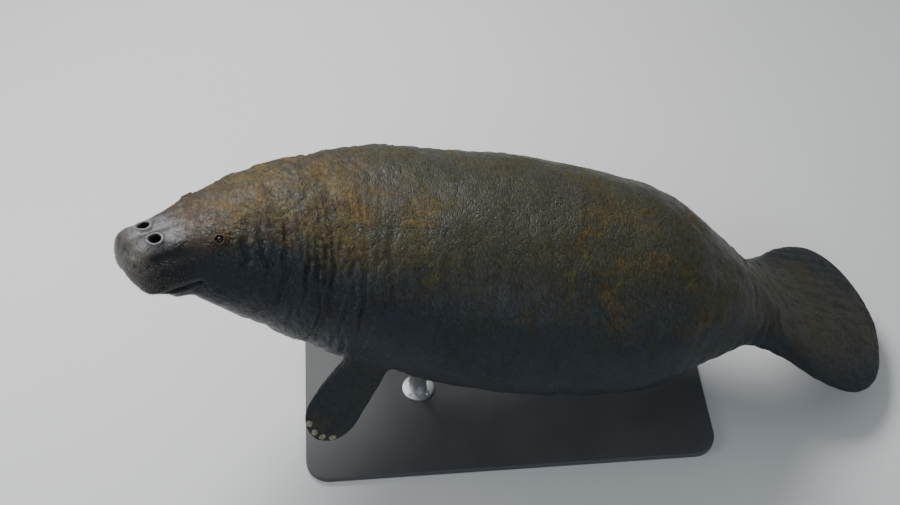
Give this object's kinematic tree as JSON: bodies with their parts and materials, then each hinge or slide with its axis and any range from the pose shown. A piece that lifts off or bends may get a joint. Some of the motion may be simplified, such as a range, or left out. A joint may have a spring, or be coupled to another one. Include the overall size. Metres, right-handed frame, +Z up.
{
  "type": "manatee model",
  "caption": "Life-size still model of an adult manatee rising to breathe, head lifted and turned, with flippers, round tail paddle, eyes and nails, on a flat base with two rods.",
  "frame": {"origin": "centre of the underside of the stand's base plate, on the floor", "axes": "+Z up, the head points to -X, the tail to +X, the left flank faces -Y"},
  "size_m": [2.7819, 1.0561, 1.238],
  "materials": {
    "skin": "wet, wrinkled grey skin with patches of brown algae on the back",
    "eye": "glossy dark glass eye",
    "nail": "smooth horn",
    "stand_base": "matt dark grey paint",
    "stand_rod": "brushed steel tube"
  },
  "bodies": {
    "root": {"head": "skin", "neck": "skin", "chest": "skin", "loin": "skin", "tail_stock": "skin", "tail_paddle": "skin", "flipper_left": "skin", "flipper_right": "skin", "eye_left": "eye", "eye_right": "eye", "nail_left_1": "nail", "nail_left_2": "nail", "nail_left_3": "nail", "nail_left_4": "nail", "nail_right_1": "nail", "nail_right_2": "nail", "nail_right_3": "nail", "nail_right_4": "nail", "stand_base": "stand_base", "stand_rod_front": "stand_rod", "stand_rod_rear": "stand_rod"}
  },
  "joints": []
}
